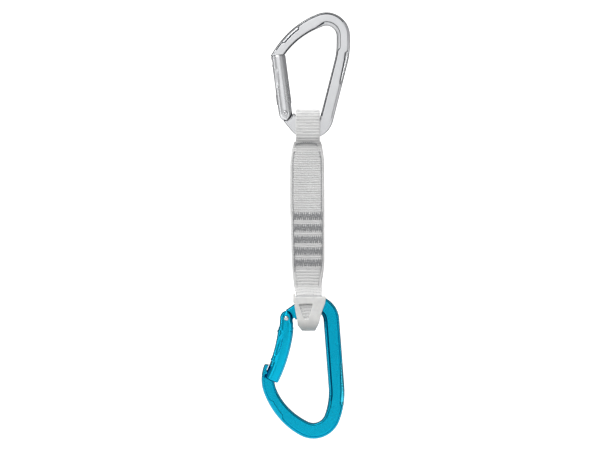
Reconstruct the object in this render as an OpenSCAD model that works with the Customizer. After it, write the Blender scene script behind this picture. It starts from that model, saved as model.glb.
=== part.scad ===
// Climbing quickdraw, hanging. Millimetres. +X to the spine side, +Y away from the front face, +Z up.
// The origin is the lowest point of the inside of the upper carabiner's basket, where it hangs.

/* [Upper carabiner] */
// width of the upper frame's section, across the spine
up_w = 10.4; // [9:0.1:12]
// depth of the upper frame, front to back
up_d = 10.0; // [9:0.1:12]
// width of the upper frame at its nose
up_nose_w = 8.8; // [7:0.1:10]
// radius of the upper basket, on the centre line
up_basket_r = 13.0; // [10:0.1:16]
// radius of the upper arm, on the centre line
up_arm_r = 64.0; // [50:1:80]
// tilt of the upper spine
up_tilt = 14.2; // [8:0.1:20]
// straight length of the upper spine
up_spine = 45.0; // [35:0.5:60]
// radius of the upper small end, on the centre line
up_end_r = 13.4; // [10:0.1:16]

/* [Upper gate] */
// radius of the straight gate
ug_r = 5.7; // [4.5:0.1:6.5]
// length of the straight gate above its rivet
ug_l = 44.3; // [40:0.1:50]
// lean of the straight gate, outwards at its top
ug_lean = 7.4; // [0:0.1:12]

/* [Lower carabiner] */
// width of the lower frame's section, across the spine
lo_w = 12.2; // [10:0.1:14]
// depth of the lower frame, front to back
lo_d = 10.8; // [9:0.1:13]
// width of the lower frame at its nose
lo_nose_w = 10.0; // [8:0.1:12]
// radius of the lower small end, on the centre line
lo_end_r = 13.6; // [10:0.1:16]
// straight length of the lower spine
lo_spine = 51.6; // [40:0.1:60]
// radius of the lower spine's bend, on the centre line
lo_bend_r = 57.0; // [40:1:80]
// radius of the lower basket, on the centre line
lo_basket_r = 15.3; // [12:0.1:20]
// radius of the lower arm, on the centre line
lo_arm_r = 55.0; // [50:1:80]

/* [Lower gate] */
// radius of the bent gate at its grip
lg_r = 6.1; // [5:0.1:7]
// radius of the bent gate at its ends
lg_end_r = 5.5; // [4.5:0.1:6.5]
// radius that the bent gate curves to
lg_bend_r = 118.0; // [80:1:200]

/* [Springs and rivets] */
// radius of each rivet
rivet_r = 1.5; // [1:0.05:2]
// radial clearance of each rivet in its gate
rivet_gap = 0.05; // [0.02:0.01:0.1]
// wire diameter of each gate spring
wire_d = 0.7; // [0.5:0.05:1]

/* [Sling] */
// width of the strap round the upper carabiner
loop_w = 18.8; // [15:0.1:22]
// thickness of one layer of strap
layer = 1.9; // [1:0.1:2.5]
// thickness of the sewn body of the sling
body_t = 5.5; // [4:0.1:7]
// height of the thread above the strap
thread_h = 0.35; // [0.2:0.05:0.6]
// length of each bar tack along the sling
tack_h = 6.5; // [4:0.1:10]
// distance from one bar tack to the next
tack_pitch = 8.9; // [7:0.1:12]

/* [Keeper] */
// wall thickness of the rubber keeper
keeper_t = 1.6; // [1:0.1:2.5]
// half the depth of the hollow in the keeper
keeper_in = 7.95; // [7:0.05:9]

/* [Hidden] */
$fn = 48;

silver = [0.78, 0.79, 0.80];
turquoise = [0.0, 0.47, 0.58];
steel = [0.62, 0.63, 0.65];
white_strap = [0.90, 0.90, 0.89];
grey_thread = [0.55, 0.55, 0.56];
white_rubber = [0.93, 0.93, 0.92];

// Headings are angles in the front plane, counter-clockwise from +X. Every path runs clockwise.
function right_of(a) = [sin(a), -cos(a)];
function ahead(a) = [cos(a), sin(a)];
function signed_pow(v, p) = v < 0 ? -pow(-v, p) : pow(v, p);
// a rounded section, w across and d deep
function section(w, d, n = 20, e = 3) = [for (i = [0 : n - 1]) let (t = 360 * (i + 0.5) / n)
    [w / 2 * signed_pow(cos(t), 2 / e), d / 2 * signed_pow(sin(t), 2 / e)]];

// upper frame: fixed points of its path
up_c = [1.0, -7.7];
up_a0 = up_c - up_basket_r * right_of(20);
up_arm_c = up_a0 + up_arm_r * right_of(20);
up_nose_a = 58.6;
up_b0 = up_c - up_basket_r * right_of(-90);
up_b1 = up_b0 + [0, -6];
up_bend_r = 57.0;
up_b2 = up_b1 + up_bend_r * (right_of(-90) - right_of(-90 - up_tilt));
up_b3 = up_b2 + up_spine * ahead(-90 - up_tilt);
up_e = up_b3 + up_end_r * right_of(-90 - up_tilt);
up_out_a = 129.8 - 360;
up_b4 = up_e - up_end_r * right_of(up_out_a);
up_leg = 12.8;
up_p = up_b4 + up_leg * ahead(up_out_a);

// lower frame: fixed points of its path, from the rivet over the small end and down
lo_e = [-8.66, -225.8];
lo_in_a = 34.4;
lo_leg = 16.0;
lo_s0 = lo_e - lo_end_r * right_of(lo_in_a);
lo_p = lo_s0 - lo_leg * ahead(lo_in_a);
lo_spine_a = -85.7;
lo_s1 = lo_e - lo_end_r * right_of(lo_spine_a);
lo_s2 = lo_s1 + lo_spine * ahead(lo_spine_a);
lo_bend_c = lo_s2 + lo_bend_r * right_of(lo_spine_a);
lo_s3 = lo_bend_c - lo_bend_r * right_of(-110);
lo_c = lo_s3 + lo_basket_r * right_of(-110);
lo_s4 = lo_c - lo_basket_r * right_of(-207);
lo_arm_c = lo_s4 + lo_arm_r * right_of(-207);
lo_s5 = lo_arm_c - lo_arm_r * right_of(-248);
lo_hood_r = 25.0;
lo_hood_c = lo_s5 + lo_hood_r * right_of(-248);

// bent gate: its path starts at the rivet, heading down
lg_a0 = -92.5;
lg_sweep = 23.9;
lg_c = lo_p + lg_bend_r * right_of(lg_a0);
lg_end = lg_c - lg_bend_r * right_of(lg_a0 - lg_sweep);
// direction from the rivet to the lock, and the distance
lg_lock_a = -104.5;
lg_lock = 44.6;
ug_lock = 39.6;

// Stands a flat shape up in the front plane, h deep and centred on it.
module face(h) { rotate([90, 0, 0]) linear_extrude(h, center = true) children(); }
// Part of a ring in the front plane, from heading a0 clockwise to heading a1.
module bend(c, r, a0, a1) {
    translate([c[0], 0, c[1]]) rotate([90, 0, 0]) rotate([0, 0, a1 + 90])
        rotate_extrude(angle = a0 - a1) translate([r, 0]) children();
}
// A straight bar in the front plane.
module run(p, a, l) {
    translate([p[0], 0, p[1]]) rotate([90, 0, 0]) rotate([0, 0, a]) rotate([90, 0, 90])
        linear_extrude(l) children();
}
// Puts children, drawn in the front plane with +x ahead, at a point and heading.
module along(p, a) { translate([p[0], 0, p[1]]) rotate([0, -a, 0]) children(); }
// A round bar through the front plane.
module across(p, r, l) { translate([p[0], 0, p[1]]) rotate([90, 0, 0]) cylinder(r = r, h = l, center = true); }
// A slot in one face of a bar.
module stadium(l, r) {
    union() {
        translate([0, -r]) square([l, 2 * r]);
        circle(r);
        translate([l, 0]) circle(r);
    }
}

// Room round a rivet for the ears of a gate that points along a when shut and along b when open.
module gate_room(a, b) {
    union() {
        circle(6.15);
        rotate(a) translate([-1, -6.02]) square([13, 12.04]);
        rotate(b) translate([-1, -6.02]) square([13, 12.04]);
    }
}

// The lug of the lock, from the rivet at p, ahead along a. s is 1 where the outside of the gate is to the left.
module lock_lug(p, a, dist, reach, s, grow = 0, out = 4.6, in = 2.4) {
    along(p, a) translate([dist, 0, 0]) {
        translate([0, 0, s * (out - in) / 2]) cylinder(r = 2.3 + grow, h = out + in, center = true);
        translate([0, -1.3 - grow, s > 0 ? -in : -out]) cube([reach, 2 * (1.3 + grow), out + in]);
    }
}

module upper_frame() {
    color(silver) difference() {
        union() {
            // arm, slimmer towards the nose; each length runs a little way into the next, larger one
            for (i = [0 : 3]) bend(up_arm_c, up_arm_r, up_nose_a - (up_nose_a - 20) * i / 4, up_nose_a - (up_nose_a - 20) * (i + 1) / 4 - 0.4)
                polygon(section(up_nose_w + (up_w - up_nose_w) * i / 4, up_d - 0.6 + 0.15 * i));
            run(up_arm_c - up_arm_r * right_of(up_nose_a) - 3 * ahead(up_nose_a), up_nose_a, 3.4) polygon(section(up_nose_w - 0.1, up_d - 0.7));
            bend(up_c, up_basket_r, 20, -90) polygon(section(up_w, up_d));
            run(up_b0 + [0, 0.4], -90, 6.8) polygon(section(up_w - 0.1, up_d - 0.1));
            bend(up_b1 + up_bend_r * right_of(-90), up_bend_r, -90, -90 - up_tilt) polygon(section(up_w, up_d));
            run(up_b2 - 0.4 * ahead(-90 - up_tilt), -90 - up_tilt, up_spine + 0.8) polygon(section(up_w - 0.1, up_d - 0.1));
            bend(up_e, up_end_r, -90 - up_tilt, up_out_a) polygon(section(up_w, up_d));
            run(up_b4 - 0.4 * ahead(up_out_a), up_out_a, up_leg - 0.6) polygon(section(up_w - 0.1, up_d - 0.1));
            // tongue that the gate turns on
            face(4.0) translate(up_b4) rotate(up_out_a) union() {
                translate([4, -3.4]) square([up_leg - 4, 6.8]);
                translate([up_leg, 0]) circle(3.4);
            }
        }
        // room for the gate at the tongue, shut and open
        for (s = [-1, 1]) translate([0, s * 7.1, 0]) face(10) translate(up_p) gate_room(90 + ug_lean, 90 + ug_lean - 30);
        // face of the nose above the gate
        along(up_p, 90 + ug_lean) translate([ug_l - 16, -8, -9]) cube([16.45, 16, 18]);
        across(up_p, rivet_r, 12);
        // shallow channels in the faces of the spine and the arm
        for (s = [-1, 1]) {
            translate([0, s * (up_d / 2 + 0.6), 0]) face(3.0) translate(up_b2 + 6 * ahead(-90 - up_tilt)) rotate(-90 - up_tilt) stadium(up_spine - 12, 2.2);
        }
    }
    color(silver) intersection() {
        lock_lug(up_p, 90 + ug_lean, ug_lock, ug_l - ug_lock + 3, 1);
        along(up_p, 90 + ug_lean) translate([30, -5, -5.2]) cube([ug_l - 30 + 2.5, 10, 10.4]);
    }
}

module upper_gate() {
    color(silver) difference() {
        along(up_p, 90 + ug_lean) rotate([0, 90, 0]) union() {
            translate([0, 0, -6]) cylinder(r = ug_r, h = 6 + ug_l - 0.6);
            translate([0, 0, ug_l - 0.6]) cylinder(r1 = ug_r, r2 = ug_r - 0.6, h = 0.6);
        }
        // ends of the ears, round about the rivet
        along(up_p, 90 + ug_lean) difference() {
            translate([-8, -8, -8]) cube([8, 16, 16]);
            rotate([90, 0, 0]) cylinder(r = ug_r, h = 20, center = true);
        }
        // slot between the ears
        along(up_p, 90 + ug_lean) translate([-8, -2.45, -8]) cube([15, 4.9, 16]);
        across(up_p, rivet_r + rivet_gap, 14);
        for (s = [-1, 1]) translate([0, s * 6.9, 0]) across(up_p, 2.3, 4);
        // bore for the plunger and its spring
        along(up_p, 90 + ug_lean) rotate([0, 90, 0]) cylinder(r = 3.0, h = 23.5);
        // key slot at the free end, open to the outside
        lock_lug(up_p, 90 + ug_lean, ug_lock, 10, 1, grow = 0.5, out = 9, in = 3.0);
        // finger grip
        for (i = [0 : 6]) along(up_p, 90 + ug_lean) translate([18 + 2 * i, 0, ug_r + 0.55]) rotate([90, 0, 0]) cylinder(r = 1.1, h = 14, center = true);
    }
}

module rivet(p, half) {
    color(steel) union() {
        across(p, rivet_r, 2 * half + 0.4);
        for (s = [-1, 1]) {
            translate([0, s * (half + 0.5), 0]) across(p, 1.9, 0.8);
            translate([p[0], s * (half + 0.9), p[1]]) rotate([s * -90, 0, 0]) cylinder(r1 = 1.9, r2 = 1.3, h = 0.35);
        }
    }
}
module upper_rivet() { rivet(up_p, 5.1); }
module lower_rivet() { rivet(lo_p, 5.1); }

// plunger and spring, in the gate's own frame with +z along the bore
module plunger_shape() {
    color(steel) union() {
        translate([0, 0, 3.85]) cylinder(r = 1.7, h = 4.4);
        translate([0, 0, 8.2]) cylinder(r = 2.5, h = 2.2);
        translate([0, 0, 10.3]) cylinder(r = 1.1, h = 5.0);
    }
}
// One crescent of wire turned up the bore.
module spring_shape(z0, h, turns) {
    color(steel) translate([0, 0, z0]) linear_extrude(h, twist = -360 * turns, slices = 12 * turns)
        polygon([for (i = [0 : 7]) let (t = 360 * i / 8, r = 2.05 + wire_d / 2 * sin(t), a = 42 * cos(t)) [r * cos(a), r * sin(a)]]);
}
module upper_plunger() { along(up_p, 90 + ug_lean) rotate([0, 90, 0]) plunger_shape(); }
module upper_spring() { along(up_p, 90 + ug_lean) rotate([0, 90, 0]) spring_shape(10.8, 11.6, 5); }
module lower_plunger() { along(lo_p, lg_a0 - 1.6) rotate([0, 90, 0]) plunger_shape(); }
module lower_spring() { along(lo_p, lg_a0 - 1.6) rotate([0, 90, 0]) spring_shape(10.8, 7.4, 4); }

module lower_frame() {
    color(turquoise) difference() {
        union() {
            run(lo_p + 1 * ahead(lo_in_a), lo_in_a, lo_leg - 5.6) polygon(section(10.8, lo_d - 0.4));
            run(lo_s0 - 5.0 * ahead(lo_in_a), lo_in_a, 2.9) polygon(section(11.3, lo_d - 0.3));
            run(lo_s0 - 2.5 * ahead(lo_in_a), lo_in_a, 2.9) polygon(section(11.8, lo_d - 0.2));
            bend(lo_e, lo_end_r, lo_in_a, lo_spine_a) polygon(section(lo_w, lo_d));
            run(lo_s1 - 0.4 * ahead(lo_spine_a), lo_spine_a, lo_spine + 0.8) polygon(section(lo_w - 0.2, lo_d - 0.2));
            bend(lo_bend_c, lo_bend_r, lo_spine_a, -110.4) polygon(section(lo_w - 0.1, lo_d - 0.1));
            bend(lo_c, lo_basket_r, -110, -207) polygon(section(lo_w, lo_d));
            // arm, slimmer towards the nose
            for (i = [0 : 3]) bend(lo_arm_c, lo_arm_r, -206.6 - 41 * i / 4, -207 - 41 * (i + 1) / 4)
                polygon(section(lo_w + (lo_nose_w - lo_w) * (i + 1) / 4, lo_d - 0.12 * i - 0.1));
            // hood that shields the end of the gate
            bend(lo_hood_c, lo_hood_r, -247.2, -291) polygon(section(lo_nose_w - 0.1, lo_d - 0.6));
            face(4.0) translate(lo_p) rotate(lo_in_a) union() {
                translate([0, -3.4]) square([8.5, 6.8]);
                circle(3.4);
            }
        }
        // room for the gate at the tongue, shut and open
        for (s = [-1, 1]) translate([0, s * 7.1, 0]) face(10) translate(lo_p) gate_room(lg_a0, lg_a0 + 30);
        across(lo_p, rivet_r, 12);
        // room for the end of the gate, inside the hood
        bend(lg_c, lg_bend_r, lg_a0 - 15, lg_a0 - lg_sweep - 0.2) square([2 * lg_end_r + 0.76, 16], center = true);
        along(lg_end, lg_a0 - lg_sweep) translate([-15, -8, 0]) cube([15.45, 16, 12]);
        // channels in the faces of the spine
        for (s = [-1, 1]) translate([0, s * (lo_d / 2 + 0.6), 0]) face(3.0) translate(lo_s1 + 6 * ahead(lo_spine_a)) rotate(lo_spine_a) stadium(lo_spine - 10, 2.6);
    }
    color(turquoise) lock_lug(lo_p, lg_lock_a, lg_lock, 6.5, -1, out = 6.3);
}

module lower_gate() {
    color(turquoise) difference() {
        union() {
            along(lo_p, lg_a0) rotate([0, 90, 0]) translate([0, 0, -6]) cylinder(r = lg_end_r - 0.05, h = 6.5);
            bend(lg_c, lg_bend_r, lg_a0, lg_a0 - lg_sweep) circle(lg_end_r);
            bend(lg_c, lg_bend_r, lg_a0 - 5, lg_a0 - 17) rotate(90) circle(lg_r);
        }
        along(lo_p, lg_a0) difference() {
            translate([-8, -8, -8]) cube([8, 16, 16]);
            rotate([90, 0, 0]) cylinder(r = lg_end_r - 0.05, h = 20, center = true);
        }
        along(lo_p, lg_a0) translate([-8, -2.45, -8]) cube([15, 4.9, 16]);
        across(lo_p, rivet_r + rivet_gap, 14);
        for (s = [-1, 1]) translate([0, s * 6.9, 0]) across(lo_p, 2.3, 4);
        along(lo_p, lg_a0 - 1.6) rotate([0, 90, 0]) cylinder(r = 3.0, h = 19);
        lock_lug(lo_p, lg_lock_a, lg_lock, 12, -1, grow = 0.5, out = 9, in = 3.0);
        // finger grip
        for (i = [0 : 5]) bend(lg_c, lg_bend_r - lg_r - 0.6, lg_a0 - 9 - 1.0 * i, lg_a0 - 9.55 - 1.0 * i) translate([-1, -8]) square([2.1, 16]);
    }
}

loop_x = -13.2;
neck_z = -94.5;
foot_z = -197.0;
// outline of the sling's body and its shoulders, seen from the front
body_line = [[-23.6, -88.9], [-24.9, -92.7], [-25.5, -96], [-26.4, -101.5], [-26.8, -107], [-26.8, -134], [-26.4, -149], [-25.5, -179], [-24.9, -188], [-24.0, -197], [-23.6, -202],
    [-3.0, -202], [-2.6, -197], [-1.2, -189], [-0.4, -181], [-0.4, -134], [-0.6, -105], [-1.1, -99], [-2.1, -93], [-2.9, -88.9]];

module sling_upper_loop() {
    color(white_strap) union() {
        // strap round the small end of the upper carabiner
        translate([loop_x, 0, 0]) rotate([90, 0, 90]) linear_extrude(loop_w, center = true) difference() {
            union() {
                translate([0, -71.1]) circle(5.6 + layer);
                translate([-5.6 - layer, -85]) square([11.2 + 2 * layer, 13.9]);
                polygon([[-7.5, -85], [-6.9, -86.6], [-2.75, -90.2], [-2.6, -91.5], [2.6, -91.5], [2.75, -90.2], [6.9, -86.6], [7.5, -85]]);
            }
            translate([0, -71.1]) circle(5.6);
            translate([-5.6, -85]) square([11.2, 13.9]);
            polygon([[-5.6, -85], [-5.1, -86.1], [-0.4, -90.2], [0.4, -90.2], [5.1, -86.1], [5.6, -85]]);
        }
        // end of the outer layer, sewn over the strap
        intersection() {
            face(12) polygon(body_line);
            translate([loop_x, 0, 0]) rotate([90, 0, 90]) linear_extrude(60, center = true)
                polygon([[-5.3, -88.9], [-3.4, -90.6], [-2.75, -91.6], [2.75, -91.6], [3.4, -90.6], [5.3, -88.9], [4.6, -88.6], [-4.6, -88.6]]);
        }
    }
}

module end_seam() {
    color(grey_thread) for (s = [-1, 1]) for (i = [0 : 8])
        translate([-21.4 + 2.05 * i, s * 4.59, -90.0]) rotate([-s * 48.2, 0, 0]) rotate([0, i % 2 == 0 ? 50 : -50, 0]) cube([2.2, 0.7, 0.5], center = true);
}

module sling_body() {
    color(white_strap) intersection() {
        face(12) polygon(body_line);
        translate([loop_x, 0, 0]) rotate([90, 0, 90]) linear_extrude(60, center = true)
            polygon([[-2.75, neck_z], [-2.4, neck_z + 1.3], [-1.6, neck_z + 2.3], [1.6, neck_z + 2.3], [2.4, neck_z + 1.3], [2.75, neck_z],
                [2.75, foot_z], [2.4, foot_z - 1.3], [1.6, foot_z - 2.3], [-1.6, foot_z - 2.3], [-2.4, foot_z - 1.3], [-2.75, foot_z]]);
    }
}

// A zigzag of thread, w wide and h tall, with n strokes.
function zigzag(w, h, n, t) = concat(
    [for (i = [0 : n]) [w * i / n, i % 2 == 0 ? 0 : h - t]],
    [for (i = [n : -1 : 0]) [w * i / n, (i % 2 == 0 ? 0 : h - t) + t]]);

module bar_tacks() {
    color(grey_thread) for (s = [-1, 1]) for (i = [0 : 4])
        translate([-24.6, s * (body_t / 2 + thread_h / 2), -149.0 - tack_pitch * i]) face(thread_h) polygon(zigzag(22.4, tack_h, 14, 1.1));
}

module edge_stitching() {
    color(grey_thread) for (s = [-1, 1]) for (i = [0 : 12]) {
        translate([-24.5 + (i < 2 ? 0.9 - 0.45 * i : 0), s * (body_t / 2 + thread_h / 2), -97 - 3.9 * i]) rotate([0, i < 2 ? 8 : 0, 0]) cube([0.7, thread_h, 2.9], center = true);
        translate([-2.6 - (i < 2 ? 0.9 - 0.45 * i : 0), s * (body_t / 2 + thread_h / 2), -97 - 3.9 * i]) rotate([0, i < 2 ? -8 : 0, 0]) cube([0.7, thread_h, 2.9], center = true);
    }
}

// half a circle of radius r under height z, from +x round to -x
function under(r, z) = [for (i = [0 : 24]) [r * cos(7.5 * i), z - r * sin(7.5 * i)]];

module sling_lower_loop() {
    color(white_strap) intersection() {
        face(24) polygon([[-23.8, -199.9], [-22.6, -205], [-21.0, -210], [-19.9, -219], [-18.9, -225], [-16.9, -232],
            [-8.9, -232], [-6.6, -225], [-4.9, -219], [-2.6, -210], [-2.2, -205], [-2.8, -199.9]]);
        translate([loop_x, 0, 0]) rotate([90, 0, 90]) linear_extrude(60, center = true) difference() {
            polygon(concat([[-7.6, -208.3], [-7.0, -206.6], [-2.75, -202.2], [-2.6, -199.9], [2.6, -199.9], [2.75, -202.2], [7.0, -206.6], [7.6, -208.3]], under(7.6, -223.8)));
            polygon(concat([[-5.7, -208.4], [-5.3, -207.2], [-0.4, -202.4], [0.4, -202.4], [5.3, -207.2], [5.7, -208.4]], under(5.7, -223.8)));
        }
    }
}

keeper_line = [[-23.0, -207.2], [-23.4, -213.5], [-22.6, -218.5], [-21.4, -224.5], [-21.0, -229], [-18.8, -231.8], [-16.9, -234.2],
    [-7.7, -234.2], [-6.4, -231], [-4.6, -227.5], [-3.2, -221.5], [-1.6, -216.3], [0, -212.2], [0.8, -207.2]];
module keeper() {
    color(white_rubber) union() {
        difference() {
            intersection() {
                face(24) polygon(keeper_line);
                translate([loop_x, 0, 0]) rotate([90, 0, 90]) linear_extrude(60, center = true) union() {
                    translate([0, -224]) circle(keeper_in + keeper_t);
                    translate([-keeper_in - keeper_t, -224]) square([2 * (keeper_in + keeper_t), 16.8]);
                }
            }
            // hollow, open at both sides above the side walls
            translate([loop_x, 0, 0]) rotate([90, 0, 90]) linear_extrude(60, center = true)
                translate([-keeper_in, -226.9]) square([2 * keeper_in, 30]);
            intersection() {
                face(24) polygon([[-19.4, -220], [-19.2, -229], [-17.4, -231.2], [-16.0, -236], [-8.8, -236], [-7.8, -231.2], [-6.3, -228], [-4.8, -220]]);
                translate([loop_x, 0, 0]) rotate([90, 0, 90]) linear_extrude(60, center = true) translate([0, -224]) circle(keeper_in);
            }
            // window in the front and back
            face(30) polygon([[-20.1, -212.8], [-15.9, -224.2], [-12.8, -224.2], [-9.2, -212.6]]);
        }
        // rim, closed on the gate side
        intersection() {
            translate([-24.4, -keeper_in - keeper_t, -212.0]) cube([1.6, 2 * (keeper_in + keeper_t), 7.2]);
            translate([0, 0, -207.2]) rotate([0, 90, 0]) cylinder(r = 200, h = 80, center = true);
        }
    }
}

upper_frame();
upper_gate();
upper_rivet();
upper_plunger();
upper_spring();
lower_frame();
lower_gate();
lower_rivet();
lower_plunger();
lower_spring();
sling_upper_loop();
end_seam();
sling_body();
bar_tacks();
edge_stitching();
sling_lower_loop();
keeper();
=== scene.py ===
import math

import bmesh
import bpy
import numpy as np
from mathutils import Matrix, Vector


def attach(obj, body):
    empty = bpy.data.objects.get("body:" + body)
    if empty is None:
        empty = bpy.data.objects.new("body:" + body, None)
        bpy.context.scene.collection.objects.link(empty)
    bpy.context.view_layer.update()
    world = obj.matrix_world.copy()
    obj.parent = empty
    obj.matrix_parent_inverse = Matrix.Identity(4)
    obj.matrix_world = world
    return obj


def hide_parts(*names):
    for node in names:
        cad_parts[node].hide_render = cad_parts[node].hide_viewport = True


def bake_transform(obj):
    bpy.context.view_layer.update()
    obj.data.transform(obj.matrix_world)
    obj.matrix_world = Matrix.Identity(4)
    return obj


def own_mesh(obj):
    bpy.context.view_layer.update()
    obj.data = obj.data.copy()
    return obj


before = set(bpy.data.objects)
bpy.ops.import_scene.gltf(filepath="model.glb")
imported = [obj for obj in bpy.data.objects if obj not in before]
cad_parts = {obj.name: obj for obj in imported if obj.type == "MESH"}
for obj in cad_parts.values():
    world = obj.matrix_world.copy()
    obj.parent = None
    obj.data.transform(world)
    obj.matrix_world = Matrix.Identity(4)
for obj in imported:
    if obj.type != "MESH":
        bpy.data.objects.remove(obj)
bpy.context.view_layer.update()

MM = 0.001
scene = bpy.context.scene


# ---------------------------------------------------------------- materials
def srgb(r, g, b):
    f = lambda c: c / 12.92 if c <= 0.04045 else ((c + 0.055) / 1.055) ** 2.4
    return (f(r / 255), f(g / 255), f(b / 255), 1.0)


def new_mat(name):
    m = bpy.data.materials.new(name)
    m.use_nodes = True
    nt = m.node_tree
    nt.nodes.clear()
    out = nt.nodes.new("ShaderNodeOutputMaterial")
    p = nt.nodes.new("ShaderNodeBsdfPrincipled")
    nt.links.new(p.outputs[0], out.inputs[0])
    return m, nt, p


def node(nt, kind, **kw):
    n = nt.nodes.new(kind)
    for k, v in kw.items():
        if hasattr(n, k):
            setattr(n, k, v)
        else:
            n.inputs[k.replace("_", " ")].default_value = v
    return n


def ramp(nt, fac, stops):
    r = nt.nodes.new("ShaderNodeValToRGB")
    e = r.color_ramp.elements
    while len(e) < len(stops):
        e.new(0.5)
    for i, (pos, col) in enumerate(stops):
        e[i].position = pos
        e[i].color = col
    nt.links.new(fac, r.inputs[0])
    return r.outputs[0]


def scaled_coords(nt, scale, rot=(0, 0, 0)):
    tc = nt.nodes.new("ShaderNodeTexCoord")
    mp = nt.nodes.new("ShaderNodeMapping")
    mp.inputs["Scale"].default_value = scale
    mp.inputs["Rotation"].default_value = rot
    nt.links.new(tc.outputs["Object"], mp.inputs[0])
    return mp.outputs[0]


def metal(name, base, dark, rough, coat=0.0, brush=0.0, rough_var=0.08):
    m, nt, p = new_mat(name)
    L = nt.links.new
    co = scaled_coords(nt, (1, 1, 1))
    n1 = node(nt, "ShaderNodeTexNoise", Scale=90.0, Detail=6.0, Roughness=0.6)
    L(co, n1.inputs["Vector"])
    n2 = node(nt, "ShaderNodeTexNoise", Scale=2600.0, Detail=3.0, Roughness=0.5)
    L(co, n2.inputs["Vector"])
    mix = nt.nodes.new("ShaderNodeMix")
    mix.data_type = "RGBA"
    mix.inputs["A"].default_value = base
    mix.inputs["B"].default_value = dark
    fac = ramp(nt, n1.outputs["Fac"], [(0.42, (0, 0, 0, 1)), (0.75, (0.25, 0.25, 0.25, 1))])
    L(fac, mix.inputs["Factor"])
    L(mix.outputs["Result"], p.inputs["Base Color"])
    p.inputs["Metallic"].default_value = 1.0
    mr = node(nt, "ShaderNodeMapRange")
    mr.inputs["From Min"].default_value = 0.3
    mr.inputs["From Max"].default_value = 0.7
    mr.inputs["To Min"].default_value = rough - rough_var / 2
    mr.inputs["To Max"].default_value = rough + rough_var / 2
    L(n1.outputs["Fac"], mr.inputs["Value"])
    L(mr.outputs[0], p.inputs["Roughness"])
    p.inputs["Coat Weight"].default_value = coat
    p.inputs["Coat Roughness"].default_value = 0.18
    b = node(nt, "ShaderNodeBump", Strength=0.12, Distance=0.00004)
    L(n2.outputs["Fac"], b.inputs["Height"])
    last = b
    if brush:
        cb = scaled_coords(nt, (9000, 9000, 260))
        nb = node(nt, "ShaderNodeTexNoise", Scale=1.0, Detail=4.0)
        L(cb, nb.inputs["Vector"])
        b2 = node(nt, "ShaderNodeBump", Strength=brush, Distance=0.00003)
        L(nb.outputs["Fac"], b2.inputs["Height"])
        L(b.outputs[0], b2.inputs["Normal"])
        last = b2
    L(last.outputs[0], p.inputs["Normal"])
    return m


def fabric(name, base, dark, pitch, bump=0.5):
    """A plain weave with yarns pitch metres apart, in object coordinates."""
    m, nt, p = new_mat(name)
    L = nt.links.new
    tc = nt.nodes.new("ShaderNodeTexCoord")
    w1 = node(nt, "ShaderNodeTexWave", wave_type="BANDS", bands_direction="X", Scale=0.314 / pitch / 2, Distortion=0.4, Detail=1.0)
    w2 = node(nt, "ShaderNodeTexWave", wave_type="BANDS", bands_direction="Z", Scale=0.314 / pitch / 2, Distortion=0.4, Detail=1.0)
    w1.inputs["Detail Scale"].default_value = 2.0
    w2.inputs["Detail Scale"].default_value = 2.0
    L(tc.outputs["Object"], w1.inputs["Vector"])
    L(tc.outputs["Object"], w2.inputs["Vector"])
    mx = node(nt, "ShaderNodeMath", operation="MAXIMUM")
    L(w1.outputs["Fac"], mx.inputs[0])
    L(w2.outputs["Fac"], mx.inputs[1])
    nz = node(nt, "ShaderNodeTexNoise", Scale=3500.0, Detail=3.0)
    L(tc.outputs["Object"], nz.inputs["Vector"])
    big = node(nt, "ShaderNodeTexNoise", Scale=70.0, Detail=3.0)
    L(tc.outputs["Object"], big.inputs["Vector"])
    mul = node(nt, "ShaderNodeMath", operation="MULTIPLY")
    L(mx.outputs[0], mul.inputs[0])
    L(nz.outputs["Fac"], mul.inputs[1])
    mix = nt.nodes.new("ShaderNodeMix")
    mix.data_type = "RGBA"
    mix.inputs["A"].default_value = dark
    mix.inputs["B"].default_value = base
    L(ramp(nt, mul.outputs[0], [(0.12, (0, 0, 0, 1)), (0.42, (1, 1, 1, 1))]), mix.inputs["Factor"])
    tone = nt.nodes.new("ShaderNodeMix")
    tone.data_type = "RGBA"
    tone.blend_type = "MULTIPLY"
    tone.inputs["Factor"].default_value = 0.35
    L(mix.outputs["Result"], tone.inputs["A"])
    L(ramp(nt, big.outputs["Fac"], [(0.35, (0.86, 0.86, 0.86, 1)), (0.65, (1, 1, 1, 1))]), tone.inputs["B"])
    L(tone.outputs["Result"], p.inputs["Base Color"])
    p.inputs["Roughness"].default_value = 0.82
    p.inputs["Sheen Weight"].default_value = 0.25
    p.inputs["Sheen Roughness"].default_value = 0.5
    b = node(nt, "ShaderNodeBump", Strength=bump, Distance=0.00012)
    L(mul.outputs[0], b.inputs["Height"])
    L(b.outputs[0], p.inputs["Normal"])
    return m


def thread_mat(name, base, dark):
    m, nt, p = new_mat(name)
    L = nt.links.new
    co = scaled_coords(nt, (1, 1, 1), (0, 0.8, 0))
    w = node(nt, "ShaderNodeTexWave", wave_type="BANDS", bands_direction="X", Scale=620.0, Distortion=1.5, Detail=2.0)
    L(co, w.inputs["Vector"])
    mix = nt.nodes.new("ShaderNodeMix")
    mix.data_type = "RGBA"
    mix.inputs["A"].default_value = dark
    mix.inputs["B"].default_value = base
    L(w.outputs["Fac"], mix.inputs["Factor"])
    L(mix.outputs["Result"], p.inputs["Base Color"])
    p.inputs["Roughness"].default_value = 0.6
    p.inputs["Sheen Weight"].default_value = 0.2
    b = node(nt, "ShaderNodeBump", Strength=0.5, Distance=0.00008)
    L(w.outputs["Fac"], b.inputs["Height"])
    L(b.outputs[0], p.inputs["Normal"])
    return m


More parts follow.
